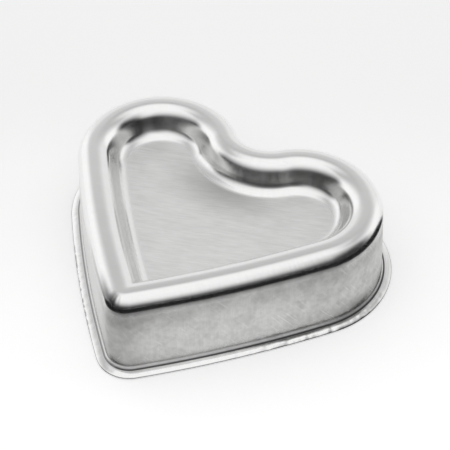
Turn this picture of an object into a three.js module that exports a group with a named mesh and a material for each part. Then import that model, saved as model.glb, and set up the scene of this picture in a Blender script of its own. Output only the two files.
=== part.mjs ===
// Heart cake pan, deep-drawn from one aluminium sheet and standing upside down on its rim.
//
// The section of the pan runs from the trimmed edge of the flat rim up the side wall, over a rounded
// crest and down a sloped inner wall to a sunk heart-shaped panel. Each point of that section becomes
// a heart-shaped ring, drawn inwards by the point's inset. The rings of the inside and the outside of
// the sheet are joined into one closed shell.
// Millimetres, +Z up, the tip of the heart towards -Y, the origin under the middle of the rim.

import * as THREE from 'three';

// Heart outline, taken outside the wall at its foot
const LOBE_RADIUS = 26.3;
const LOBE_SPACING = 49; // between the centres of the two lobes
const TIP_REACH = 62.2; // from the line through the lobe centres to the tip
const TIP_RADIUS = 7.4;
const SMALLEST_TIP_RADIUS = 1.2; // of the inner rings, where the insets have used up the tip radius
const SIDE_RADIUS = 360; // the two sides bow out slightly
const CLEFT_RADIUS = 9.4;

// Pressed section, taken on the outside of the sheet
const SHEET = 0.6;
const HEIGHT = 28.3;
const RIM_WIDTH = 3; // from the foot of the wall to the trimmed edge
const FOOT_FILLET = 1;
const WALL_DRAFT = 2.5; // degrees from upright
const CREST_OUTER_RADIUS = 4.5;
const CREST_LAND = 1; // narrow flat that the pan stands on when it is filled
const CREST_INNER_RADIUS = 5;
const RECESS_DEPTH = 8.5; // from the crest down to the panel
const RECESS_DRAFT = 27.5; // degrees from upright
const PANEL_FILLET = 4.6;

// Facets of each arc
const TIP_STEPS = 4; // on each side of the tip
const SIDE_STEPS = 6;
const LOBE_STEPS = 24;
const CLEFT_STEPS = 5; // on each side of the cleft
const FOOT_STEPS = 3;
const CREST_STEPS = 6;
const FILLET_STEPS = 4;

const ALUMINIUM = new THREE.MeshStandardMaterial({ color: 0xcdcdcb, metalness: 1, roughness: 0.34 });

// Centres of the arcs of the right half. The insets of all rings share them, apart from the tip's.
const lobeCentre = new THREE.Vector2(LOBE_SPACING / 2, (TIP_REACH - LOBE_RADIUS) / 2);
const sideCentre = findSideCentre();
const cleftRise = Math.sqrt((LOBE_RADIUS + CLEFT_RADIUS) ** 2 - lobeCentre.x ** 2);
const cleftCentre = new THREE.Vector2(0, lobeCentre.y + cleftRise);

// The side arc touches the tip arc and the lobe arc from outside, so its centre lies on two circles.
function findSideCentre() {
  const tipCentre = new THREE.Vector2(0, lobeCentre.y - TIP_REACH + TIP_RADIUS);
  const toTip = SIDE_RADIUS - TIP_RADIUS;
  const toLobe = SIDE_RADIUS - LOBE_RADIUS;
  const axis = lobeCentre.clone().sub(tipCentre);
  const span = axis.length();
  axis.normalize();
  const along = (toTip ** 2 - toLobe ** 2 + span ** 2) / (2 * span);
  const across = Math.sqrt(toTip ** 2 - along ** 2);
  const left = new THREE.Vector2(-axis.y, axis.x);
  return tipCentre.addScaledVector(axis, along).addScaledVector(left, across);
}

function bearing(from, to) {
  return Math.atan2(to.y - from.y, to.x - from.x);
}

// Points of an arc from one angle to another, without the last one.
function arc(centre, radius, start, end, steps) {
  return Array.from({ length: steps }, (_, i) => {
    const angle = start + ((end - start) * i) / steps;
    return new THREE.Vector2(centre.x + radius * Math.cos(angle), centre.y + radius * Math.sin(angle));
  });
}

// Heart-shaped ring, anticlockwise from the tip, drawn inwards from the outline by an inset.
function heartRing(inset) {
  const sideRadius = SIDE_RADIUS - inset;
  const tipRadius = Math.max(TIP_RADIUS - inset, SMALLEST_TIP_RADIUS);
  const tipDrop = Math.sqrt((sideRadius - tipRadius) ** 2 - sideCentre.x ** 2);
  const tipCentre = new THREE.Vector2(0, sideCentre.y - tipDrop);
  const tipToSide = bearing(sideCentre, tipCentre);
  const sideToLobe = bearing(sideCentre, lobeCentre);
  const lobeToCleft = bearing(lobeCentre, cleftCentre);
  const down = -Math.PI / 2;

  const right = [
    ...arc(tipCentre, tipRadius, down, tipToSide, TIP_STEPS),
    ...arc(sideCentre, sideRadius, tipToSide, sideToLobe, SIDE_STEPS),
    ...arc(lobeCentre, LOBE_RADIUS - inset, sideToLobe, lobeToCleft, LOBE_STEPS),
    ...arc(cleftCentre, CLEFT_RADIUS + inset, bearing(cleftCentre, lobeCentre), down, CLEFT_STEPS),
  ];
  const cleft = new THREE.Vector2(0, cleftCentre.y - CLEFT_RADIUS - inset);
  const left = right.slice(1).reverse().map((point) => new THREE.Vector2(-point.x, point.y));
  return [...right, cleft, ...left];
}

// Points of a round stretch of the section. The sheet's outside faces out and up at each of them.
// A bend of +1 bulges towards that face, and a bend of -1 hollows it.
function bend(centreInset, centreHeight, radius, tilts, steps, sign) {
  return Array.from({ length: steps + 1 }, (_, i) => {
    const tilt = tilts[0] + ((tilts[1] - tilts[0]) * i) / steps;
    const face = { out: Math.sin(tilt), up: Math.cos(tilt) };
    return {
      inset: centreInset - sign * radius * face.out,
      height: centreHeight + sign * radius * face.up,
      ...face,
    };
  });
}

// Section of the sheet's outside, from the trimmed edge to the panel. Tilt 0 faces up, and a positive
// tilt faces away from the middle of the pan.
function sheetSection() {
  const wallTilt = Math.PI / 2 - THREE.MathUtils.degToRad(WALL_DRAFT);
  const recessTilt = THREE.MathUtils.degToRad(RECESS_DRAFT) - Math.PI / 2;
  const panelHeight = HEIGHT - RECESS_DEPTH;

  const footInset = -FOOT_FILLET * Math.tan(wallTilt / 2);
  const foot = bend(footInset, SHEET + FOOT_FILLET, FOOT_FILLET, [0, wallTilt], FOOT_STEPS, -1);

  const crestHeight = HEIGHT - CREST_OUTER_RADIUS;
  const wallLean = (crestHeight - SHEET) / Math.tan(wallTilt);
  const crestInset = wallLean + CREST_OUTER_RADIUS / Math.sin(wallTilt);
  const crest = bend(crestInset, crestHeight, CREST_OUTER_RADIUS, [wallTilt, 0], CREST_STEPS, 1);

  const landEnd = crestInset + CREST_LAND;
  const innerHeight = HEIGHT - CREST_INNER_RADIUS;
  const inner = bend(landEnd, innerHeight, CREST_INNER_RADIUS, [0, recessTilt], CREST_STEPS, 1);

  const slopeStart = inner.at(-1);
  const filletHeight = panelHeight + PANEL_FILLET;
  const slopeDrop = slopeStart.height - filletHeight + PANEL_FILLET * Math.cos(recessTilt);
  const slopeRun = slopeDrop / Math.tan(-recessTilt);
  const filletInset = slopeStart.inset + slopeRun - PANEL_FILLET * Math.sin(recessTilt);
  const fillet = bend(filletInset, filletHeight, PANEL_FILLET, [recessTilt, 0], FILLET_STEPS, -1);

  const trimmedEdge = { inset: -RIM_WIDTH, height: SHEET, out: 0, up: 1 };
  return [trimmedEdge, ...foot, ...crest, ...inner, ...fillet];
}

// The inside of the sheet lies one thickness behind its outside.
function insideOf(point) {
  return { inset: point.inset + SHEET * point.out, height: point.height - SHEET * point.up };
}

function ringPositions({ inset, height }) {
  return heartRing(inset).flatMap((point) => [point.x, point.y, height]);
}

// One closed shell: from the panel's underside out to the trimmed edge, and back in to the panel's top.
function pressedShell() {
  const outside = sheetSection();
  const inside = outside.map(insideOf).reverse();
  const levels = [...inside, ...outside];
  const panel = heartRing(outside.at(-1).inset);
  const count = panel.length;

  const index = [];
  for (let level = 0; level < levels.length - 1; level += 1) {
    for (let i = 0; i < count; i += 1) {
      const a = level * count + i;
      const b = level * count + ((i + 1) % count);
      index.push(a, b, b + count, a, b + count, a + count);
    }
  }
  const panelTop = (levels.length - 1) * count;
  for (const [a, b, c] of THREE.ShapeUtils.triangulateShape(panel, [])) {
    index.push(panelTop + a, panelTop + b, panelTop + c, a, c, b);
  }

  const geometry = new THREE.BufferGeometry();
  geometry.setAttribute('position', new THREE.Float32BufferAttribute(levels.flatMap(ringPositions), 3));
  geometry.setIndex(index);
  geometry.computeVertexNormals();
  return geometry;
}

const pan = new THREE.Mesh(pressedShell(), ALUMINIUM);
pan.name = 'pressed_heart_pan';

const heartCakePan = new THREE.Group();
heartCakePan.add(pan);

export default heartCakePan;
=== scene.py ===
# %% [markdown]
# A small heart cake pan, pressed from one thin aluminium sheet. It stands upside down on its rim, as
# it is kept on a shelf, so that the closed side with its sunk heart panel looks up.
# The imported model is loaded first. It gives the frame that this pan has to sit in, and its box is kept,
# so that the finished pan can be measured against it at the end.

import math

import bmesh
import bpy
from mathutils import Matrix, Vector


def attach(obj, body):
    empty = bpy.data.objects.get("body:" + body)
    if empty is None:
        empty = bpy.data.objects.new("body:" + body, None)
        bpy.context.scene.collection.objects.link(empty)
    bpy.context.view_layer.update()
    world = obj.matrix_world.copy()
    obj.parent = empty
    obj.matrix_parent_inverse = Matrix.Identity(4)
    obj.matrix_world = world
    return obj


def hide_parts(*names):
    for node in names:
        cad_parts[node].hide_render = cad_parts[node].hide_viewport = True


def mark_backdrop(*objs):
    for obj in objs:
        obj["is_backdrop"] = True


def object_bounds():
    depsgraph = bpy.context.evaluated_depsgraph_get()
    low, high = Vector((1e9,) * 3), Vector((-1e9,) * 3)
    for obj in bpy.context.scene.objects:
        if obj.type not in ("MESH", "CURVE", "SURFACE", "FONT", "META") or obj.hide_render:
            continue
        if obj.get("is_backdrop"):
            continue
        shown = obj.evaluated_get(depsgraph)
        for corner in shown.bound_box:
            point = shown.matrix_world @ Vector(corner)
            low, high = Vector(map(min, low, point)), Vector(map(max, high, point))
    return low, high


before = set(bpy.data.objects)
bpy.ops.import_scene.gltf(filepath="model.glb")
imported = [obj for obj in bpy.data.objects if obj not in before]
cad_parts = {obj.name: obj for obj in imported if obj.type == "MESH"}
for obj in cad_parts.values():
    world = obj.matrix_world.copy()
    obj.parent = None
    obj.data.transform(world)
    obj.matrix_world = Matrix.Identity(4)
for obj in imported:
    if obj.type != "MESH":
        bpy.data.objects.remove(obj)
cad_low, cad_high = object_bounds()
print("CAD box in mm:", [round(1000 * size, 2) for size in cad_high - cad_low])

# %% [markdown]
# The heart outline is made of arcs that run into each other without a kink: a small arc round the tip,
# a side that bows out slightly, a lobe, and a hollow arc in the cleft. A Bezier curve could be drawn by
# eye, but arcs can be moved in and out by an exact distance, and a pressed pan is nothing but one
# outline moved in step by step. The sizes are taken outside the wall, at its foot.

# %% Heart outline
MM = 0.001

LOBE_RADIUS = 26.3 * MM
LOBE_SPACING = 49 * MM
TIP_REACH = 62.2 * MM
TIP_RADIUS = 7.4 * MM
SMALLEST_TIP_RADIUS = 1.2 * MM
SIDE_RADIUS = 360 * MM
CLEFT_RADIUS = 9.4 * MM

lobe_centre = Vector((LOBE_SPACING / 2, (TIP_REACH - LOBE_RADIUS) / 2))
tip_centre = Vector((0, lobe_centre.y - TIP_REACH + TIP_RADIUS))
cleft_rise = math.sqrt((LOBE_RADIUS + CLEFT_RADIUS) ** 2 - lobe_centre.x**2)
cleft_centre = Vector((0, lobe_centre.y + cleft_rise))

# The side arc touches the tip arc and the lobe arc, so its centre lies on a circle round each of them.
tip_to_lobe = lobe_centre - tip_centre
span = tip_to_lobe.length
side_to_tip = SIDE_RADIUS - TIP_RADIUS
side_to_lobe = SIDE_RADIUS - LOBE_RADIUS
along = (side_to_tip**2 - side_to_lobe**2 + span**2) / (2 * span)
across = math.sqrt(side_to_tip**2 - along**2)
forward = tip_to_lobe.normalized()
leftward = Vector((-forward.y, forward.x))
side_centre = tip_centre + forward * along + leftward * across
print("Lobe centre in mm:", [round(c / MM, 2) for c in lobe_centre])

# %% [markdown]
# Wherever the real sheet turns, it turns in a bend, because a sharp crease would tear. So the section of
# the pan is made of bends and of straight stretches between them. A curve with bevelled corners could
# give it too, but here each bend has its own radius and number of steps. Tilt 0 faces straight up.

# %% Bends and straights of the sheet


def round_bend(inset, height, radius, first_tilt, last_tilt, steps, bulge):
    """Points (inset, height) of a bend of the sheet. A bulge of -1 makes it hollow."""
    points = []
    for step in range(steps + 1):
        tilt = first_tilt + (last_tilt - first_tilt) * step / steps
        points.append((inset - bulge * radius * math.sin(tilt), height + bulge * radius * math.cos(tilt)))
    return points


def straight(start, end, steps):
    """Points between two points of the section, without either of them."""
    first, last = Vector(start), Vector(end)
    return [tuple(first.lerp(last, step / steps)) for step in range(1, steps)]


print("A quarter bend in 6 steps has", len(round_bend(0, 0, MM, 0, math.pi / 2, 6, 1)), "points")

# %% [markdown]
# The section starts at the trimmed edge of the rim. The rim looks flat, but trimming has rolled it over a
# little: it is a long shallow arc that gets steeper towards its edge. A tight hollow bend then turns the
# sheet up into the wall. Each point is an inset from the outline and a height.

# %% Rim and foot
SHEET = 0.6 * MM
RIM_WIDTH = 3 * MM
RIM_ROLL_RADIUS = 5.67 * MM
RIM_OUTER_TILT = math.radians(32)
RIM_INNER_TILT = math.radians(8)
RIM_STEPS = 6
FOOT_FILLET = 1.0 * MM
FOOT_STEPS = 6
WALL_DRAFT = math.radians(2.5)

wall_tilt = math.pi / 2 - WALL_DRAFT
roll_inset = RIM_ROLL_RADIUS * math.sin(RIM_OUTER_TILT) - RIM_WIDTH
roll_height = (SHEET - RIM_ROLL_RADIUS) * math.cos(RIM_OUTER_TILT)
rim_arc = round_bend(roll_inset, roll_height, RIM_ROLL_RADIUS, RIM_OUTER_TILT, RIM_INNER_TILT, RIM_STEPS, 1)
foot_inset = rim_arc[-1][0] - FOOT_FILLET * math.sin(RIM_INNER_TILT)
foot_height = rim_arc[-1][1] + FOOT_FILLET * math.cos(RIM_INNER_TILT)
foot_arc = round_bend(foot_inset, foot_height, FOOT_FILLET, RIM_INNER_TILT, wall_tilt, FOOT_STEPS, -1)
print("Wall starts", round(foot_arc[-1][1] / MM, 2), "mm above the table")

# %% [markdown]
# The crest is the highest part of the upturned pan: a bend in from the wall, a narrow flat, and a bend
# down into the recess. A sloped inner wall and a wide hollow fillet lead on to the sunk panel.

# %% Crest and recess
HEIGHT = 28.3 * MM
CREST_OUTER_RADIUS = 4.5 * MM
CREST_OUTER_STEPS = 14
CREST_LAND = 1.0 * MM
CREST_INNER_RADIUS = 5.0 * MM
CREST_INNER_STEPS = 12
RECESS_DEPTH = 8.5 * MM
RECESS_DRAFT = math.radians(27.5)
PANEL_FILLET = 4.6 * MM
FILLET_STEPS = 10

crest_height = HEIGHT - CREST_OUTER_RADIUS
crest_inset = (crest_height - SHEET) / math.tan(wall_tilt) + CREST_OUTER_RADIUS / math.sin(wall_tilt)
crest_outer = round_bend(crest_inset, crest_height, CREST_OUTER_RADIUS, wall_tilt, 0, CREST_OUTER_STEPS, 1)

recess_tilt = RECESS_DRAFT - math.pi / 2
land_end = crest_inset + CREST_LAND
inner_height = HEIGHT - CREST_INNER_RADIUS
crest_inner = round_bend(land_end, inner_height, CREST_INNER_RADIUS, 0, recess_tilt, CREST_INNER_STEPS, 1)

slope_start = crest_inner[-1]
panel_height = HEIGHT - RECESS_DEPTH
fillet_height = panel_height + PANEL_FILLET
slope_drop = slope_start[1] - fillet_height + PANEL_FILLET * math.cos(recess_tilt)
slope_run = slope_drop / math.tan(-recess_tilt)
fillet_inset = slope_start[0] + slope_run - PANEL_FILLET * math.sin(recess_tilt)
fillet = round_bend(fillet_inset, fillet_height, PANEL_FILLET, recess_tilt, 0, FILLET_STEPS, -1)
print("Panel starts", round(fillet[-1][0] / MM, 2), "mm inside the outline")

# %% [markdown]
# Put one after the other, these stretches are the whole section. The way along it, from the trimmed edge,
# is kept as well. It tells later where on the sheet a place is, and the finish follows it.

# %% Whole section
WALL_STEPS = 12
SLOPE_STEPS = 3

section = [*rim_arc, *foot_arc[1:]]
section += [*straight(foot_arc[-1], crest_outer[0], WALL_STEPS), *crest_outer]
section += [*crest_inner, *straight(slope_start, fillet[0], SLOPE_STEPS), *fillet]
way_along = [0.0]
for start, end in zip(section, section[1:]):
    way_along.append(way_along[-1] + (Vector(end) - Vector(start)).length)
rim_way = way_along[section.index(rim_arc[-1])]
foot_way = way_along[section.index(foot_arc[-1])]
crest_way = way_along[section.index(crest_outer[0])]
recess_way = way_along[section.index(slope_start)]
fillet_way = way_along[section.index(fillet[0])]
panel_way = way_along[-1]
print("Section:", len(section), "points,", round(panel_way / MM, 1), "mm from the edge to the panel")

# %% [markdown]
# Each point of the section becomes one heart-shaped ring. Only the right half is drawn, because a mirror
# gives the left half for nothing. A ring starts as a single vertex, a plane merged into its middle, and
# Spin drags that vertex round the centre of each arc in turn and leaves a chain of edges behind.
# Far inside the outline the tip arc has no radius left, so it keeps a small one and slides inwards.

# %% One half ring
TIP_STEPS = 10
SIDE_STEPS = 104
LOBE_STEPS = 100
CLEFT_STEPS = 18


def bearing(start, end):
    """Angle of the line from one point to another."""
    return math.atan2(end.y - start.y, end.x - start.x)


def draw_half_ring(inset, height):
    """Adds the right half of a heart ring as a chain of edges, from the tip to the cleft."""
    side_radius = SIDE_RADIUS - inset
    tip_radius = max(TIP_RADIUS - inset, SMALLEST_TIP_RADIUS)
    tip_drop = math.sqrt((side_radius - tip_radius) ** 2 - side_centre.x**2)
    ring_tip = Vector((0, side_centre.y - tip_drop))
    down = -math.pi / 2
    tip_end = bearing(side_centre, ring_tip)
    side_end = bearing(side_centre, lobe_centre)
    lobe_end = bearing(lobe_centre, cleft_centre)
    arcs = (
        (ring_tip, tip_end - down, TIP_STEPS),
        (side_centre, side_end - tip_end, SIDE_STEPS),
        (lobe_centre, lobe_end - side_end, LOBE_STEPS),
        (cleft_centre, down - bearing(cleft_centre, lobe_centre), CLEFT_STEPS),
    )
    bpy.ops.mesh.primitive_plane_add(size=SHEET, location=(0, ring_tip.y - tip_radius, height))
    bpy.ops.object.mode_set(mode="EDIT")
    bpy.ops.mesh.select_mode(type="VERT")
    bpy.ops.mesh.merge(type="CENTER")
    for centre, sweep, steps in arcs:
        bpy.ops.mesh.spin(steps=steps, angle=-sweep, center=(*centre, height), axis=(0, 0, 1))
    bpy.ops.object.mode_set(mode="OBJECT")
    return bpy.context.object


bpy.ops.object.select_all(action="DESELECT")
rings = [draw_half_ring(inset, height) for inset, height in section]
ring_size = len(rings[0].data.vertices)
print("Half rings:", len(rings), "of", ring_size, "vertices")

# %% [markdown]
# Joining puts the rings into one mesh, one after another, so a ring can be found by its place in the
# list of vertices. Two attributes remember where each vertex is on the sheet: the way along the section,
# and the way round the outline from the tip.

# %% Join the rings
bpy.ops.object.select_all(action="DESELECT")
for ring in rings:
    ring.select_set(True)
pan = rings[0]
bpy.context.view_layer.objects.active = pan
bpy.ops.object.join()
bpy.ops.object.transform_apply(location=True)
pan.name = "pressed_sheet"

section_way = pan.data.attributes.new("section_way", "FLOAT", "POINT")
section_way.data.foreach_set("value", [way for way in way_along for _ in range(ring_size)])
outline = [vertex.co.copy() for vertex in pan.data.vertices[:ring_size]]
round_way = [0.0]
for start, end in zip(outline, outline[1:]):
    round_way.append(round_way[-1] + (end - start).length)
half_way = round_way[-1]
ring_way = pan.data.attributes.new("ring_way", "FLOAT", "POINT")
ring_way.data.foreach_set("value", round_way * len(section))
print("From the tip to the cleft:", round(half_way / MM, 1), "mm along the rim")

# %% [markdown]
# Bridge Edge Loops lays a strip of faces between each ring and the next. This is a loft, and it gives
# clean rows of faces that follow the heart, which bends and reflections need.

# %% Bridge the rings into the skin of the pan
bpy.ops.object.mode_set(mode="EDIT")
bpy.ops.mesh.select_mode(type="EDGE")
skin = bmesh.from_edit_mesh(pan.data)
for lower_ring in range(len(section) - 1):
    bpy.ops.mesh.select_all(action="DESELECT")
    pair = range(lower_ring * ring_size, (lower_ring + 2) * ring_size)
    for edge in skin.edges:
        a, b = (vertex.index for vertex in edge.verts)
        if a in pair and b in pair and a // ring_size == b // ring_size:
            edge.select_set(True)
    bpy.ops.mesh.bridge_edge_loops()
    skin.edges.ensure_lookup_table()
bpy.ops.object.mode_set(mode="OBJECT")
print("Half skin:", len(pan.data.polygons), "faces")

# %% [markdown]
# The two halves of the press tool are alike, so the left half is a mirror image. Clipping holds the
# vertices at the tip and at the cleft on the middle plane, and merging leaves no seam there.

# %% Mirror the half
SAME_SPOT = 0.01 * MM

mirror = pan.modifiers.new("left_half", "MIRROR")
mirror.use_axis = (True, False, False)
mirror.use_clip = True
mirror.merge_threshold = SAME_SPOT
bpy.ops.object.modifier_apply(modifier=mirror.name)
print("Whole skin:", len(pan.data.polygons), "faces")

# %% [markdown]
# The panel is still a hole with the outline of a heart. One big face could close it, but the sheet needs
# vertices there for its slight unevenness, so the edge is extruded and scaled towards the middle in
# several steps, and the last small heart is filled. A large flat panel never comes out of the press quite
# flat, so each step also sinks a little, and the panel ends up dished by a third of a millimetre.

# %% Fill the panel
PANEL_MIDDLE = (0, 4 * MM, panel_height)
PANEL_STEPS = 12
PANEL_DISH = 0.3 * MM

bpy.ops.object.mode_set(mode="EDIT")
bpy.ops.mesh.select_all(action="DESELECT")
skin = bmesh.from_edit_mesh(pan.data)
for edge in skin.edges:
    if edge.is_boundary and all(vertex.co.z > panel_height / 2 for vertex in edge.verts):
        edge.select_set(True)
for step in range(PANEL_STEPS, 1, -1):
    shrink = (step - 1) / step
    bpy.ops.mesh.extrude_edges_move()
    bpy.ops.transform.resize(value=(shrink, shrink, 1), center_override=PANEL_MIDDLE)
    drop = PANEL_DISH * (step**2 - (step - 1) ** 2) / PANEL_STEPS**2
    bpy.ops.transform.translate(value=(0, 0, -drop))
bpy.ops.mesh.edge_face_add()
bpy.ops.mesh.select_all(action="SELECT")
bpy.ops.mesh.remove_doubles(threshold=SAME_SPOT)
bpy.ops.mesh.normals_make_consistent(inside=False)
bpy.ops.object.mode_set(mode="OBJECT")
upward = sum(face.normal.z * face.area for face in pan.data.polygons)
print("Skin faces up" if upward > 0 else "Skin faces down", "-", len(pan.data.polygons), "faces")

# %% [markdown]
# Drawing gathers the metal of the rim into fine wrinkles, mostly on the front right, and no pressed sheet
# is quite even. Both are shapes and not paint, so a Displace modifier moves the skin before it gets its
# thickness. Vertex groups say where. The wrinkles die out at the trimmed edge and at the foot, so that
# the rim still stands on the table, and the waves only go inwards, so that the pan doesn't grow.

# %% Where the forming marks are
WRINKLED_MIDDLE = 66 * MM
WRINKLED_REACH = 40 * MM
FAINTEST_WRINKLE = 0.1

round_here = [
    math.copysign(way.value, vertex.co.x)
    for vertex, way in zip(pan.data.vertices, pan.data.attributes["ring_way"].data)
]
section_here = [way.value for way in pan.data.attributes["section_way"].data]
rim_group = pan.vertex_groups.new(name="rim")
body_group = pan.vertex_groups.new(name="body")
for index, way in enumerate(section_here):
    if way < rim_way:
        off_middle = abs(round_here[index] - WRINKLED_MIDDLE)
        strength = max(FAINTEST_WRINKLE, 1 - off_middle / WRINKLED_REACH)
        rim_group.add([index], strength * math.sin(math.pi * way / rim_way), "REPLACE")
    elif way > foot_way:
        body_group.add([index], 1.0, "REPLACE")
print("Rim vertices:", sum(way < rim_way for way in section_here))

# %% [markdown]
# The wrinkles run across the rim, so their noise is laid on the sheet unrolled: a UV map with the way
# round the heart against the way across it, which is pressed together to stretch the lumps.

# %% Unroll the sheet
WRINKLE_STRETCH = 6

unrolled = pan.data.uv_layers.new(name="unrolled")
for loop, spot in zip(pan.data.loops, unrolled.uv):
    index = loop.vertex_index
    spot.vector = (round_here[index], section_here[index] / WRINKLE_STRETCH)
print("Unrolled:", len(pan.data.loops), "corners")

# %% [markdown]
# Both marks are cloud noise through a Displace modifier. Applying one rebuilds the mesh, and a vertex
# group that Python still holds from before is no longer valid, so the groups are called by their names.
# Afterwards nothing needs them any more. They are cleared, because the bevel further on would leave
# weights just below zero in them, and Blender's own check of a mesh complains about such weights.

# %% Press the forming marks
RIM_WRINKLE = 1.1 * MM
WRINKLE_SIZE = 3.2 * MM
WRINKLE_LEVEL = 0.2
SHEET_WAVE = 0.10 * MM
WAVE_SIZE = 16 * MM
WAVE_LEVEL = 1


def press_marks(name, group, lump, depth, level, direction, coordinates):
    """Moves the vertices of a group by noise, which leaves them in place where it equals the level."""
    pattern = bpy.data.textures.new(name, "CLOUDS")
    pattern.noise_scale = lump
    pattern.noise_depth = 1
    displace = pan.modifiers.new(name, "DISPLACE")
    displace.texture = pattern
    displace.texture_coords = coordinates
    displace.direction = direction
    displace.mid_level = level
    displace.strength = depth
    displace.vertex_group = group
    bpy.ops.object.modifier_apply(modifier=displace.name)


press_marks("rim_wrinkles", "rim", WRINKLE_SIZE, RIM_WRINKLE, WRINKLE_LEVEL, "Z", "UV")
press_marks("sheet_waves", "body", WAVE_SIZE, SHEET_WAVE, WAVE_LEVEL, "NORMAL", "LOCAL")
pan.vertex_groups.clear()
edge_heights = [
    round(vertex.co.z / MM, 3)
    for vertex, way in zip(pan.data.vertices, section_here)
    if way == 0
]
print("Trimmed edge between", min(edge_heights), "and", max(edge_heights), "mm")

# %% [markdown]
# Solidify gives the skin the thickness of the sheet, on its inner side only, so that the outside keeps
# its sizes. A small Bevel takes the sharpness off the trimmed edge, where a cut sheet catches the light.

# %% Thickness and edges
EDGE_BREAK = 0.09 * MM
CUT_ANGLE = math.radians(60)
SMOOTH_ANGLE = math.radians(40)

thickness = pan.modifiers.new("sheet", "SOLIDIFY")
thickness.thickness = SHEET
thickness.offset = -1
thickness.use_even_offset = True
bpy.ops.object.modifier_apply(modifier=thickness.name)

edge_break = pan.modifiers.new("trimmed_edge", "BEVEL")
edge_break.width = EDGE_BREAK
edge_break.segments = 2
edge_break.limit_method = "ANGLE"
edge_break.angle_limit = CUT_ANGLE
bpy.ops.object.modifier_apply(modifier=edge_break.name)
bpy.ops.object.shade_smooth_by_angle(angle=SMOOTH_ANGLE)
pan.data.calc_loop_triangles()
print("Pressed sheet:", len(pan.data.loop_triangles), "triangles")

# %% [markdown]
# The shear that trims the rim leaves a rough, dull cut, and the finish darkens it further as painted
# shadow under the rim's edge. Its faces get an attribute of their own, so that the finish can find them.
# Then the sheet rides on the frame's one body, in place of the plain CAD pan.

# %% Mark the cut and take the CAD pan's place
STEEPEST_CUT = 0.5

cut_edge = pan.data.attributes.new("cut_edge", "FLOAT", "FACE")
way_here = pan.data.attributes["section_way"].data
for face in pan.data.polygons:
    at_edge = all(way_here[index].value < EDGE_BREAK for index in face.vertices)
    cut_edge.data[face.index].value = at_edge and abs(face.normal.z) < STEEPEST_CUT
print("Faces of the cut:", sum(cut.value > 0 for cut in cut_edge.data))

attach(pan, "root")
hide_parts("pressed_heart_pan")

# %% [markdown]
# Shader maths reads best as arithmetic. `Shade` wraps a node's output, and its operators add Math nodes,
# so `1 - mask` works as it is written. Every other node comes from `node`, settings first, then sockets.

# %% Shader arithmetic


class Shade:
    """A value in a node tree that Python's operators turn into Math nodes."""

    def __init__(self, tree, socket=None):
        self.tree = tree
        self.socket = socket

    def node(self, kind, settings=None, output=0, **inputs):
        """Adds a node. An input is named as in Blender, with _ for a space, or i and its number."""
        made = self.tree.nodes.new(kind)
        for name, value in (settings or {}).items():
            setattr(made, name, value)
        for name, value in inputs.items():
            key = int(name[1:]) if name[1:].isdigit() else name.replace("_", " ")
            if isinstance(value, Shade):
                self.tree.links.new(value.socket, made.inputs[key])
            else:
                made.inputs[key].default_value = value
        return Shade(self.tree, made.outputs[output])

    def maths(self, operation, first, second):
        return self.node("ShaderNodeMath", {"operation": operation}, i0=first, i1=second)

    def __add__(self, other):
        return self.maths("ADD", self, other)

    __radd__ = __add__

    def __sub__(self, other):
        return self.maths("SUBTRACT", self, other)

    def __rsub__(self, other):
        return self.maths("SUBTRACT", other, self)

    def __mul__(self, other):
        return self.maths("MULTIPLY", self, other)

    __rmul__ = __mul__


def new_material(name):
    """A material with its Principled shader, and a Shade to add nodes with."""
    material = bpy.data.materials.new(name)
    material.use_nodes = True
    return material, material.node_tree.nodes["Principled BSDF"], Shade(material.node_tree)


aluminium, metal, shade = new_material("pressed_aluminium")
metal.inputs["Metallic"].default_value = 1.0
place = shade.node("ShaderNodeTexCoord", output="Object")
print("Aluminium starts with", len(aluminium.node_tree.nodes), "nodes")

# %% [markdown]
# A finish on a pressed sheet follows the sheet: one look on the wall, another on the crest, a stain at
# one side. So most masks here are bands, with soft edges, along the section or round the heart.
# An image could be painted for it, but bands keep their place if the pan gets other sizes.

# %% Masks and colours


def mm(*sizes, past=0.0):
    """Sizes in millimetres as metres, counted from a given way."""
    return [past + size * MM for size in sizes]


def smooth_step(value, low, high):
    """A value that goes from 0 to 1 as another one goes from low to high."""
    return value.node("ShaderNodeMapRange", {"interpolation_type": "SMOOTHSTEP"}, Value=value,
                      From_Min=low, From_Max=high)


def band(value, start, full, fade, end):
    """A mask that rises from start to full, and falls again from fade to end."""
    return smooth_step(value, start, full) * (1 - smooth_step(value, fade, end))


def blend(factor, first, second):
    """A colour between two others. The Mix node keeps its colours on inputs 6 and 7 and output 2."""
    return factor.node("ShaderNodeMix", {"data_type": "RGBA"}, output=2, i0=factor, i6=first, i7=second)


print("A band of 2 mm past the foot:", [round(way / MM, 2) for way in mm(0, 2, past=foot_way)], "mm")

# %% [markdown]
# The sheet is rolled aluminium: bright, slightly warm grey metal with a fine grain from the rollers.
# The grain and its broader streaks are noise stretched along the rolling direction. Smudges, mottle and
# specks are plain noise of three sizes, and they stand for handling, staining and dust.

# %% Grain and stains
ROLLING_DIRECTION = math.radians(22)
STREAK_DIRECTION = math.radians(15)
GRAIN_STRETCH = (9, 1, 1)


def noise(size, detail, stretch=(1, 1, 1), turn=0.0):
    """Noise from 0 to 1 with lumps of about the given size in metres."""
    turned = place.node("ShaderNodeMapping", {"vector_type": "TEXTURE"}, Vector=place,
                        Rotation=(0, 0, turn), Scale=stretch)
    return place.node("ShaderNodeTexNoise", Vector=turned, Scale=1 / size, Detail=detail)


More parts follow.
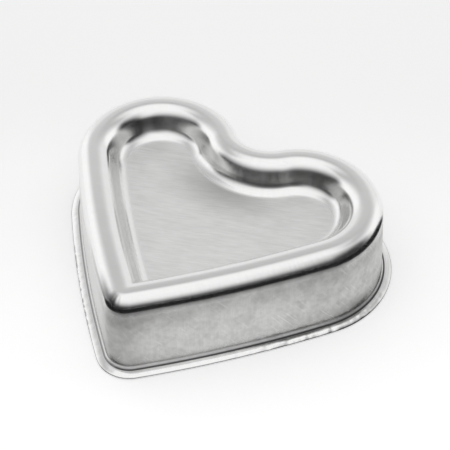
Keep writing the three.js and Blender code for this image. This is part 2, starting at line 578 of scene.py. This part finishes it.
grain = smooth_step(noise(0.5 * MM, 5, GRAIN_STRETCH, ROLLING_DIRECTION), 0.3, 0.7)
streaks = smooth_step(noise(1.4 * MM, 3, GRAIN_STRETCH, STREAK_DIRECTION), 0.35, 0.65)
rolled = 0.6 * grain + 0.4 * streaks
smudges = smooth_step(noise(6 * MM, 6), 0.38, 0.68)
mottle = smooth_step(noise(1.6 * MM, 4), 0.35, 0.7)
specks = noise(1.2 * MM, 2)
print("With grain and stains:", len(aluminium.node_tree.nodes), "nodes")

# %% [markdown]
# Drawing leaves fine lines up the wall, where the metal slid along the die, and handling adds slanting
# scratches. Both follow the sheet, so their noise lies on the unrolled sheet. The way round the heart is
# the same on both sides, and its sign comes from X: a signed attribute would jump within a face of the
# cleft and smear there.

# %% Draw marks
MARK_SIZE = 0.32 * MM
MARK_STRETCH = 20
SCRATCH_SIZE = 0.5 * MM
SCRATCH_STRETCH = (22, 1, 1)
SCRATCH_SLANT = math.radians(128)

along_section = shade.node("ShaderNodeAttribute", {"attribute_name": "section_way"}, output="Fac")
half_round = shade.node("ShaderNodeAttribute", {"attribute_name": "ring_way"}, output="Fac")
cut = shade.node("ShaderNodeAttribute", {"attribute_name": "cut_edge"}, output="Fac")
sideways = shade.node("ShaderNodeSeparateXYZ", output="X", Vector=place)
round_heart = half_round * shade.node("ShaderNodeMath", {"operation": "SIGN"}, i0=sideways)

drawn_place = shade.node("ShaderNodeCombineXYZ", X=round_heart, Y=along_section * (1 / MARK_STRETCH))
lines = shade.node("ShaderNodeTexNoise", Vector=drawn_place, Scale=1 / MARK_SIZE, Detail=3.0)
lines = smooth_step(lines, 0.3, 0.7)
flat_place = shade.node("ShaderNodeCombineXYZ", X=round_heart, Y=along_section)
slanted_place = shade.node("ShaderNodeMapping", {"vector_type": "TEXTURE"}, Vector=flat_place,
                           Rotation=(0, 0, SCRATCH_SLANT), Scale=SCRATCH_STRETCH)
scratches = shade.node("ShaderNodeTexNoise", Vector=slanted_place, Scale=1 / SCRATCH_SIZE, Detail=2.0)
scratches = smooth_step(scratches, 0.6, 0.75)
print("With draw marks:", len(aluminium.node_tree.nodes), "nodes")

# %% [markdown]
# These bands are the parts of the section that the finish tells apart: the burr at the trimmed edge, the
# foot and its line of painted shade, the satin wall, the outer bend of the crest, the inner wall and the
# panel.

# %% Bands of the section
burr = 1 - smooth_step(along_section, *mm(0.15, 0.3))
# The line of painted shade in the bend at the foot.
foot_shade_line = band(along_section, *mm(-0.15, 0.1, 0.4, 0.8, past=rim_way))
foot_bend = band(along_section, *mm(-0.3, 0, past=rim_way), *mm(0, 0.6, past=foot_way))
wall = band(along_section, *mm(-0.2, 0.3, past=foot_way), *mm(-1, 3, past=crest_way))
satin = band(along_section, *mm(0, 4, past=foot_way), *mm(-4, 0, past=crest_way))
outer_bend = band(along_section, *mm(-4, 0, 3, 6, past=crest_way))
slope = smooth_step(along_section, *mm(-2, 0, past=recess_way))
inner_wall = band(along_section, *mm(-0.5, 0.5, past=recess_way), *mm(0, 1.5, past=fillet_way))
panel = smooth_step(along_section, *mm(-1.5, 0, past=panel_way))
print("With bands:", len(aluminium.node_tree.nodes), "nodes")

# %% [markdown]
# The wall is duller than the crest, and stained where hands hold it; the left side is less dull and less
# stained. Near the foot the wall is darker as painted shade, and so is the lower wall of the right lobe.
# The wall is also darker towards the tip. Four greys make up the whole pan, and each patch blends the
# colour so far towards one of them.

# %% Colour of the wall
BRIGHT = (0.96, 0.96, 0.955, 1)
DULL = (0.7, 0.7, 0.69, 1)
# The two darker greys serve real stains and grime, and also painted shade and painted dark reflections.
STAIN_AND_SHADE = (0.44, 0.44, 0.43, 1)
GRIME_AND_SHADE = (0.05, 0.05, 0.05, 1)
LOW_WALL_SHADE = 0.6
TIP_WALL_DARKENING = 0.32
RIGHT_FOOT_SHADE = 0.4

left_side = band(round_heart, *mm(0, 25, past=-half_way), *mm(-24, -8))
tint = blend(wall * (0.75 + 0.25 * lines) * (1 - 0.25 * left_side), BRIGHT, DULL)
handled = 1 - band(round_heart, *mm(4, 32, 40, 72))
stain = 0.05 + 0.3 * handled + 0.35 * smudges + 0.25 * mottle
tint = blend(wall * stain * (1 - 0.85 * left_side), tint, STAIN_AND_SHADE)
# Painted shade: the wall is darker near its foot, except on the left.
low_wall_shade = wall * (1 - smooth_step(along_section, *mm(0, 3, past=foot_way)))
tint = blend(low_wall_shade * LOW_WALL_SHADE * (1 - left_side), tint, STAIN_AND_SHADE)
# The wall is darker round the tip.
tip_wall = wall * band(round_heart, *mm(-16, -5, 4, 20))
# Painted shade on the lower wall and foot bend of the right lobe.
right_foot_shade = (wall + foot_bend * (1 - wall)) * band(round_heart, *mm(60, 78, 96, 106))
right_foot_shade = right_foot_shade * (1 - smooth_step(along_section, *mm(0, 8, past=foot_way)))
tint = blend(tip_wall * TIP_WALL_DARKENING + right_foot_shade * RIGHT_FOOT_SHADE, tint, GRIME_AND_SHADE)
print("With the wall:", len(aluminium.node_tree.nodes), "nodes")

# %% [markdown]
# The rim's edge is darker on the right, and on the left it has small dark spots, which are the specks
# again, cut off hard.

# %% Colour of the rim
RIGHT_RIM_DARKENING = 0.35
LEFT_RIM_SPOTS = 0.6

right_rim = band(round_heart, *mm(80, 92, 105, 115)) * (1 - smooth_step(along_section, *mm(1, 1.7)))
tint = blend(right_rim * RIGHT_RIM_DARKENING, tint, STAIN_AND_SHADE)
left_rim = band(round_heart, *mm(-64, -50, -30, -16)) * (1 - smooth_step(along_section, *mm(0.3, 0.7)))
tint = blend(left_rim * smooth_step(specks, 0.4, 0.6) * LEFT_RIM_SPOTS, tint, GRIME_AND_SHADE)
print("With the rim:", len(aluminium.node_tree.nodes), "nodes")

# %% [markdown]
# At the tip the crest turns in a tight ball, and a dark patch lies on it that runs out along the left of
# the crest. It is a painted dark reflection: no one place in the room gives it, so it is a tint.

# %% Painted dark reflection at the tip
LEFT_OF_TIP_REFLECTION = 0.75
TIP_BALL_REFLECTION = 0.9
LEFT_CREST_REFLECTION = 0.4

# Painted dark reflection on the crest at the tip and along its left.
left_of_tip = band(round_heart, *mm(-22, -10, -9, -4))
left_of_tip = left_of_tip * band(along_section, *mm(0.7, 2, 3, 5, past=crest_way))
tint = blend(left_of_tip * LEFT_OF_TIP_REFLECTION, tint, GRIME_AND_SHADE)
tip_ball = band(round_heart, *mm(-14, -6, -5, 6))
tip_ball = tip_ball * band(along_section, *mm(1.4, 3, 3.6, 6.2, past=crest_way))
tint = blend(tip_ball * TIP_BALL_REFLECTION, tint, GRIME_AND_SHADE)
left_crest = band(round_heart, *mm(-42, -22, -16, -9))
left_crest = left_crest * band(along_section, *mm(-1.5, 0.6, 1.2, 2.4, past=crest_way))
tint = blend(left_crest * LEFT_CREST_REFLECTION, tint, GRIME_AND_SHADE)
print("With the dark crest:", len(aluminium.node_tree.nodes), "nodes")

# %% [markdown]
# The panel keeps the grain of the rollers, because the press hardly stretched it. Below the cleft it has a
# darker patch, a painted reflection of the cleft's dark wall. The drawn crest shows both kinds of lines
# faintly. Scratches are bare, bright metal.

# %% Colour of the panel and the crest
CLEFT_SPOT = (-2 * MM, 18.5 * MM, 0)
CLEFT_SPOT_SQUEEZE = (0.6, 1, 0)
CLEFT_SPOT_REACH = 14 * MM
CLEFT_REFLECTION_DARKNESS = 0.63
SCRATCH_BRIGHTNESS = 0.4

tint = blend(panel * (0.36 * rolled + 0.08 * smudges), tint, DULL)
# Painted dark reflection of the cleft's wall on the panel, below the cleft.
from_cleft = shade.node("ShaderNodeVectorMath", {"operation": "SUBTRACT"}, i0=place, i1=CLEFT_SPOT)
from_cleft = shade.node("ShaderNodeVectorMath", {"operation": "MULTIPLY"}, i0=from_cleft,
                        i1=CLEFT_SPOT_SQUEEZE)
from_cleft = shade.node("ShaderNodeVectorMath", {"operation": "LENGTH"}, output="Value", i0=from_cleft)
cleft_reflection = 1 - smooth_step(from_cleft, 0, CLEFT_SPOT_REACH)
tint = blend(panel * cleft_reflection * CLEFT_REFLECTION_DARKNESS, tint, STAIN_AND_SHADE)
tint = blend((1 - wall) * (1 - panel) * (0.06 * lines + 0.08 * rolled), tint, DULL)
tint = blend(wall * scratches * SCRATCH_BRIGHTNESS, tint, BRIGHT)
print("With panel and crest:", len(aluminium.node_tree.nodes), "nodes")

# %% [markdown]
# A dark line of painted shade lies in the bend at the foot of the wall, all round. It is darkest along the
# front, and on the inner edge of the rim at the front right it widens into a wedge of painted shade.

# %% Painted shade at the foot
WEDGE_WIDTH = 0.7 * MM

front_side = band(round_heart, *mm(-12, 6), *mm(-50, 0, past=half_way))
# Painted shade in the bend at the foot, darkest along the front.
tint = blend(foot_shade_line * (0.65 + 0.3 * front_side), tint, GRIME_AND_SHADE)
wedge = band(round_heart, *mm(40, 58, 62, 76))
# Painted shade on the inner edge of the rim at the front right.
inner_rim_shade = smooth_step(along_section + WEDGE_WIDTH * wedge, *mm(-0.5, 0.1, past=rim_way))
inner_rim_shade = inner_rim_shade * (1 - smooth_step(along_section, *mm(0.3, 0.7, past=rim_way)))
inner_rim_shade = inner_rim_shade * band(round_heart, *mm(25, 50, 70, 90))
tint = blend(inner_rim_shade * (0.55 + 0.2 * wedge), tint, GRIME_AND_SHADE)
print("With the foot:", len(aluminium.node_tree.nodes), "nodes")

# %% [markdown]
# The sloped inner wall is darker all round, less on the left and on the two flanks of the cleft. The back
# of the left lobe is darker still, as a painted dark reflection, and the lower edge of the slope just right
# of the cleft is darker as painted shade.

# %% Colour of the inner wall
LOW_EDGE_SHADE = 0.7

flank = smooth_step(half_round, *mm(-4.5, -1, past=half_way))
flank = flank * (1 - smooth_step(along_section, *mm(-1.6, -0.8, past=fillet_way)))
tint = blend(inner_wall * (0.55 - 0.2 * left_side - 0.5 * flank), tint, STAIN_AND_SHADE)
# Painted dark reflection at the back of the left lobe.
lobe_back = band(round_heart, *mm(-126, -116, -110, -100))
lobe_back = lobe_back * band(along_section, *mm(-0.8, 0.4, past=recess_way), *mm(0.5, 2, past=fillet_way))
lobe_back_reflection = 0.7 - 0.35 * smooth_step(along_section, recess_way + MM, fillet_way)
tint = blend(lobe_back * lobe_back_reflection, tint, GRIME_AND_SHADE)
# Painted shade at the lower edge of the slope, just right of the cleft.
low_edge = band(round_heart, *mm(-20, -10, -3, 0, past=half_way))
low_edge = low_edge * band(along_section, *mm(-0.8, 0.5, 0.7, 1.6, past=fillet_way))
tint = blend(low_edge * LOW_EDGE_SHADE, tint, GRIME_AND_SHADE)
print("With the inner wall:", len(aluminium.node_tree.nodes), "nodes")

# %% [markdown]
# The cut and the burr beside it are dark, partly because a sheared edge is rough and partly as painted
# shadow under the rim's edge. Gloss follows the section: the crest is polished, because the metal slid
# over the die there, and wall, foot and panel are satin. The wall's roughness stays free of noise, because
# there even a little of it frays the reflections.

# %% Cut edge and gloss
BURR_DULLNESS_AND_SHADOW = 0.6
CUT_DULLNESS_AND_SHADOW = 0.9
POLISHED = 0.12
WALL_SATIN = 0.18
FOOT_SATIN = 0.28
PANEL_SATIN = 0.34
CUT_SATIN = 0.3

# Dark burr and cut: a rough sheared edge, and painted shadow under the rim's edge.
tint = blend(burr * BURR_DULLNESS_AND_SHADOW, tint, GRIME_AND_SHADE)
tint = blend(cut * CUT_DULLNESS_AND_SHADOW, tint, GRIME_AND_SHADE)
roughness = POLISHED + 0.04 * wall + 0.04 * (1 - wall) * (smudges + lines)
roughness = roughness + 0.04 * slope + FOOT_SATIN * foot_bend + 0.06 * outer_bend
roughness = roughness + panel * (PANEL_SATIN + 0.06 * rolled) + WALL_SATIN * satin + CUT_SATIN * cut
print("With gloss:", len(aluminium.node_tree.nodes), "nodes")

# %% [markdown]
# What can be felt of the grain and the draw lines is only hundredths of a millimetre deep. That is too
# fine for the mesh, so it is a bump, strongest on the panel.

# %% Relief, and the finish on the pan
RELIEF_DEPTH = 0.05 * MM
RELIEF_STRENGTH = 0.14
PANEL_GRAIN = 3
DRAW_LINES = 0.4
DUST = 0.4

relief = panel * rolled * PANEL_GRAIN + (1 - panel) * lines * DRAW_LINES + specks * DUST
bump = shade.node("ShaderNodeBump", Strength=RELIEF_STRENGTH, Distance=RELIEF_DEPTH, Height=relief)
for socket, value in (("Base Color", tint), ("Roughness", roughness), ("Normal", bump)):
    aluminium.node_tree.links.new(value.socket, metal.inputs[socket])
pan.data.materials.clear()
pan.data.materials.append(aluminium)
print("Aluminium:", len(aluminium.node_tree.nodes), "nodes")

# %% [markdown]
# Bright metal shows little but what stands round it, so the light is planned as a set of reflections.
# The first is the table: a plain pale plane. It glows a little where the camera or the metal sees it,
# more towards the front, so that it stays pale without more light on the pan, and it keeps the shadow.

# %% Table
TABLE_SIZE = 6.0
TABLE_GAP = 0.05 * MM
TABLE_COLOUR = (0.9, 0.9, 0.9, 1)
TABLE_ROUGHNESS = 0.7
TABLE_SHINE = 0.1
TABLE_LIFT = 0.255
FRONT_LIFT = 0.21
FRONT_WAY = math.radians(32)
FRONT_REACH = 90 * MM

bpy.ops.object.select_all(action="DESELECT")
bpy.ops.mesh.primitive_plane_add(size=TABLE_SIZE, location=(0, 0, -TABLE_GAP))
table = bpy.context.object
table.name = "table"
table_paint, table_shader, shade = new_material("table_paint")
table_shader.inputs["Base Color"].default_value = TABLE_COLOUR
table_shader.inputs["Roughness"].default_value = TABLE_ROUGHNESS
table_shader.inputs["Specular IOR Level"].default_value = TABLE_SHINE
table_shader.inputs["Emission Strength"].default_value = 1.0

seen_directly = shade.node("ShaderNodeLightPath", output="Is Camera Ray")
seen_in_metal = shade.node("ShaderNodeLightPath", output="Is Glossy Ray")
table_place = shade.node("ShaderNodeTexCoord", output="Object")
to_viewer = (math.sin(FRONT_WAY), -math.cos(FRONT_WAY), 0)
forward_way = shade.node("ShaderNodeVectorMath", {"operation": "DOT_PRODUCT"}, output="Value",
                         i0=table_place, i1=to_viewer)
lift = TABLE_LIFT + FRONT_LIFT * smooth_step(forward_way, -FRONT_REACH, FRONT_REACH)
lift = (seen_directly + seen_in_metal) * lift
lift_colour = shade.node("ShaderNodeCombineColor", Red=lift, Green=lift, Blue=lift)
table_paint.node_tree.links.new(lift_colour.socket, table_shader.inputs["Emission Color"])
table.data.materials.append(table_paint)
print("Table:", len(table_paint.node_tree.nodes), "nodes")

# %% [markdown]
# The dark band under the crest is the reflection of something dark that lies round the front and the
# right of the pan. Here it is a black card on the table, with a heart-shaped hole a finger wider than the
# pan. A photographer would lay one just so. It is a half ring again, mirrored, extruded far outwards and
# cut to its stretch of the circle, and only reflections see it.

# %% Dark card
CARD_GAP = 24 * MM
CARD_HEIGHT = 0.3 * MM
CARD_REACH = 30
CARD_FIRST = math.radians(-55)
CARD_LAST = math.radians(140)

card = draw_half_ring(-CARD_GAP, CARD_HEIGHT)
card.name = "dark_card"
bpy.ops.object.transform_apply(location=True)
other_side = card.modifiers.new("other_side", "MIRROR")
bpy.ops.object.modifier_apply(modifier=other_side.name)
bpy.ops.object.mode_set(mode="EDIT")
bpy.ops.mesh.select_all(action="SELECT")
bpy.ops.mesh.extrude_edges_move()
bpy.ops.transform.resize(value=(CARD_REACH, CARD_REACH, 1), center_override=(0, 0, CARD_HEIGHT))
bpy.ops.mesh.select_mode(type="FACE")
bpy.ops.mesh.select_all(action="DESELECT")
card_mesh = bmesh.from_edit_mesh(card.data)
for face in card_mesh.faces:
    face_middle = face.calc_center_median()
    azimuth = math.atan2(face_middle.x, -face_middle.y)
    face.select_set(not CARD_FIRST < azimuth < CARD_LAST)
bpy.ops.mesh.delete(type="FACE")
bpy.ops.object.mode_set(mode="OBJECT")
print("Dark card:", len(card.data.polygons), "faces")

# %% [markdown]
# The card is matt black, so that it has no reflection of its own. Table and card are the stage and not
# part of the pan.

# %% Paint of the card
CARD_COLOUR = (0.02, 0.02, 0.02, 1)

card_paint, card_shader, shade = new_material("card_paint")
card_shader.inputs["Base Color"].default_value = CARD_COLOUR
card_shader.inputs["Roughness"].default_value = 1.0
card_shader.inputs["Specular IOR Level"].default_value = 0.0
card.data.materials.append(card_paint)
card.visible_camera = False
card.visible_diffuse = False
card.visible_shadow = False
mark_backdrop(table, card)
print("Card seen by the camera:", card.visible_camera)

# %% [markdown]
# The room is the world's light, painted by direction: pale to the left and behind, with two brighter
# windows, and dark in front and to the right, where it only gets bright high up. A dark stand at the
# right takes that brightness up further, and a gap of light beside it lets it down. A broad soft light
# hangs overhead. Lamps could do it too, but polished metal would then show their outlines.
# The edge of each of these is given by two numbers, where it starts and where it is full: cosines of the
# angle from its middle, or heights of the direction, which run from 0 at the table to 1 overhead.

# %% Directions in the room
room = bpy.data.worlds.new("studio_room")
room.use_nodes = True
room_shader = room.node_tree.nodes["Background"]
shade = Shade(room.node_tree)
direction = shade.node("ShaderNodeTexCoord", output="Generated")
rise = shade.node("ShaderNodeSeparateXYZ", output="Z", Vector=direction)
level = shade.node("ShaderNodeVectorMath", {"operation": "MULTIPLY"}, i0=direction, i1=(1, 1, 0))
level = shade.node("ShaderNodeVectorMath", {"operation": "NORMALIZE"}, i0=level)


def towards(azimuth):
    """How nearly a level direction points to an azimuth: 1 straight at it, -1 straight away."""
    aim = (math.sin(azimuth), -math.cos(azimuth), 0)
    return level.node("ShaderNodeVectorMath", {"operation": "DOT_PRODUCT"}, output="Value",
                      i0=level, i1=aim)


print("Room starts with", len(room.node_tree.nodes), "nodes")

# %% Pale side and windows
LEFT_WINDOW = math.radians(-90)
LEFT_WINDOW_EDGE = (0.8, 0.93)
BACK_WINDOW = math.radians(148)
BACK_WINDOW_EDGE = (0.91, 0.985)
WINDOW_GLOW = 0.19
PALE_LOW = 0.84
PALE_HIGH = 0.51
PALE_EDGE = (0.4, 0.84)

left_window = smooth_step(towards(LEFT_WINDOW), *LEFT_WINDOW_EDGE)
windows = left_window + smooth_step(towards(BACK_WINDOW), *BACK_WINDOW_EDGE)
pale_low = PALE_LOW + WINDOW_GLOW * windows
pale_wall = pale_low + smooth_step(rise, *PALE_EDGE) * (PALE_HIGH - pale_low)
print("With the pale side:", len(room.node_tree.nodes), "nodes")

# %% Dark side, stand and light gap
DARK_SIDE = math.radians(33)
DARK_SIDE_HALF = math.radians(90.5)
DARK_SIDE_BLUR = math.radians(11)
DARK_STAND = math.radians(100)
STAND_EDGE = (0.84, 0.99)
LIGHT_GAP = math.radians(58)
GAP_EDGE = (0.96, 0.995)
DARK_LOW = 0.04
DARK_RISE = 0.92
DARK_UNTIL = 0.14
BRIGHT_FROM = 0.9
STAND_HEIGHT = 0.25
EDGE_SHIFT = 0.11

dark_edge = (math.cos(DARK_SIDE_HALF + DARK_SIDE_BLUR), math.cos(DARK_SIDE_HALF - DARK_SIDE_BLUR))
dark_side = smooth_step(towards(DARK_SIDE), *dark_edge)
stand = smooth_step(towards(DARK_STAND), *STAND_EDGE)
gap = smooth_step(towards(LIGHT_GAP), *GAP_EDGE)
dark_until = DARK_UNTIL + STAND_HEIGHT * stand - EDGE_SHIFT * gap
bright_from = BRIGHT_FROM + EDGE_SHIFT * (stand - gap)
dark_wall = DARK_LOW + DARK_RISE * smooth_step(rise, dark_until, bright_from)
print("With the dark side:", len(room.node_tree.nodes), "nodes")

# %% Overhead light and background
OVERHEAD = 0.99
OVERHEAD_EDGE = (0.8, 0.98)
ROOM_LEVEL = 0.965
BACKGROUND = 0.93

glow = pale_wall + dark_side * (dark_wall - pale_wall)
glow = ROOM_LEVEL * (glow + smooth_step(rise, *OVERHEAD_EDGE) * (OVERHEAD - glow))
seen_directly = shade.node("ShaderNodeLightPath", output="Is Camera Ray")
glow = glow + seen_directly * (BACKGROUND - glow)
room.node_tree.links.new(glow.socket, room_shader.inputs["Strength"])
room_shader.inputs["Color"].default_value = (1, 1, 1, 1)
bpy.context.scene.world = room
bpy.context.scene.view_settings.view_transform = "Standard"
print("Room:", len(room.node_tree.nodes), "nodes")

# %% [markdown]
# The camera stands where the photograph was taken: a long lens from the front right, looking down at
# about 45 degrees, with a very slight roll.

# %% Camera
CAMERA_AZIMUTH = math.radians(32.0)
CAMERA_ELEVATION = math.radians(45.2)
CAMERA_ROLL = math.radians(-0.98)
CAMERA_DISTANCE = 459.4 * MM
CAMERA_AIM = Vector((-2.19, 19.66, 2.59)) * MM
CAMERA_LENS = 116.8

bpy.ops.object.camera_add()
camera = bpy.context.object
turn = Matrix.Rotation(CAMERA_AZIMUTH, 3, "Z")
turn = turn @ Matrix.Rotation(math.pi / 2 - CAMERA_ELEVATION, 3, "X")
turn = turn @ Matrix.Rotation(CAMERA_ROLL, 3, "Z")
camera.location = CAMERA_AIM + turn @ Vector((0, 0, CAMERA_DISTANCE))
camera.rotation_euler = turn.to_euler()
camera.data.lens = CAMERA_LENS
bpy.context.scene.camera = camera
print("Camera in mm:", [round(c / MM, 1) for c in camera.location])

# %% [markdown]
# The looks mustn't change the size of the pan. The box of the finished pan is written down beside the box
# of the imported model, and every number printed here should be below zero.

# %% Measure and finish
visual_low, visual_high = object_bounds()
past_low = [round((cad - seen) / MM, 3) for cad, seen in zip(cad_low, visual_low)]
past_high = [round((seen - cad) / MM, 3) for cad, seen in zip(cad_high, visual_high)]
print("Past the CAD box in mm:", past_low, past_high)
